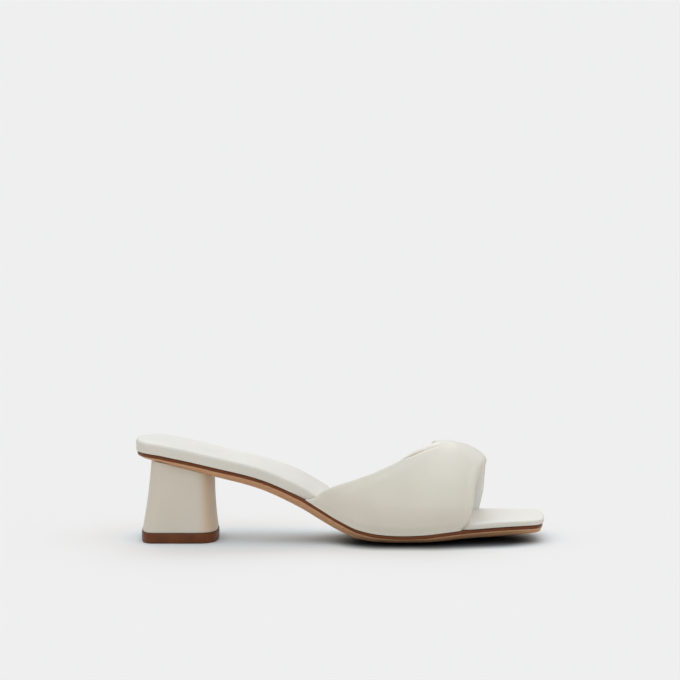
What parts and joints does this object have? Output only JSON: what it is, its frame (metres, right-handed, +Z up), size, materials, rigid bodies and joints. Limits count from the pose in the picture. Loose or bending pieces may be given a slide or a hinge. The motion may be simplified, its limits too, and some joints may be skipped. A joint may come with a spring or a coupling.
{
  "type": "block heel mule",
  "caption": "Open-toe slip-on mule for the right foot: padded crossover upper, cushioned footbed, leather sole and wrapped block heel.",
  "frame": {"origin": "middle of the shoe's bounding box on the floor that heel and forefoot rest on", "axes": "+X from heel to toe, +Y to the inner side of the foot, +Z up"},
  "size_m": [0.24, 0.0814, 0.0594],
  "materials": {
    "sole_leather": "waxed brown edge",
    "footbed_leather": "soft matte",
    "heel_wrap": "smooth satin",
    "lift_rubber": "satin",
    "upper_leather": "soft padded satin"
  },
  "bodies": {
    "root": {"outsole": "sole_leather", "footbed": "footbed_leather", "heel_block": "heel_wrap", "top_lift": "lift_rubber", "upper": "upper_leather"}
  },
  "joints": []
}
